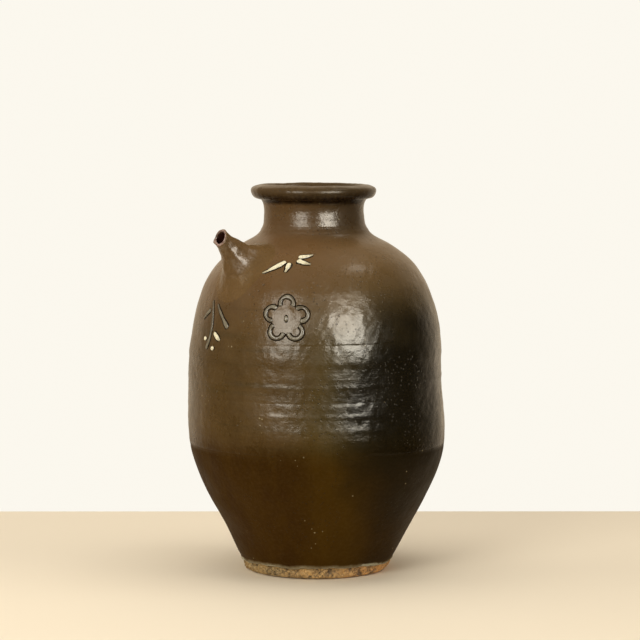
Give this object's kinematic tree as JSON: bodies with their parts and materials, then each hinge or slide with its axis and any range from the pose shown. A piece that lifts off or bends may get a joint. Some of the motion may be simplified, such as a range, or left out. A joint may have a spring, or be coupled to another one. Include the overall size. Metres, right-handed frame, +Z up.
{
  "type": "spouted sake bottle",
  "caption": "Large dark brown glazed stoneware sake bottle with a rolled lip, a small horn spout on its shoulder and trailed slip flowers.",
  "frame": {"origin": "centre of the foot's flat rest face", "axes": "+Z up along the bottle's axis, -X towards the spout"},
  "size_m": [0.2, 0.2, 0.3],
  "materials": {
    "iron_glaze": "glossy olive brown iron glaze over stoneware",
    "bare_clay": "bare ochre stoneware with a crust",
    "trailed_slip": "raised cream slip under thin glaze"
  },
  "bodies": {
    "root": {"base_slab": "bare_clay", "lower_wall": "iron_glaze", "upper_wall": "iron_glaze", "neck": "iron_glaze", "lip": "iron_glaze", "spout": "iron_glaze", "cluster_leaf_1": "trailed_slip", "cluster_leaf_2": "trailed_slip", "cluster_leaf_3": "trailed_slip", "cluster_leaf_4": "trailed_slip", "petal_1": "trailed_slip", "petal_2": "trailed_slip", "petal_3": "trailed_slip", "petal_4": "trailed_slip", "petal_5": "trailed_slip", "blossom_centre": "trailed_slip", "twig_stem": "trailed_slip", "twig_leaf_1": "trailed_slip", "twig_leaf_2": "trailed_slip", "twig_leaf_3": "trailed_slip", "twig_bud_1": "trailed_slip", "twig_bud_2": "trailed_slip"}
  },
  "joints": []
}
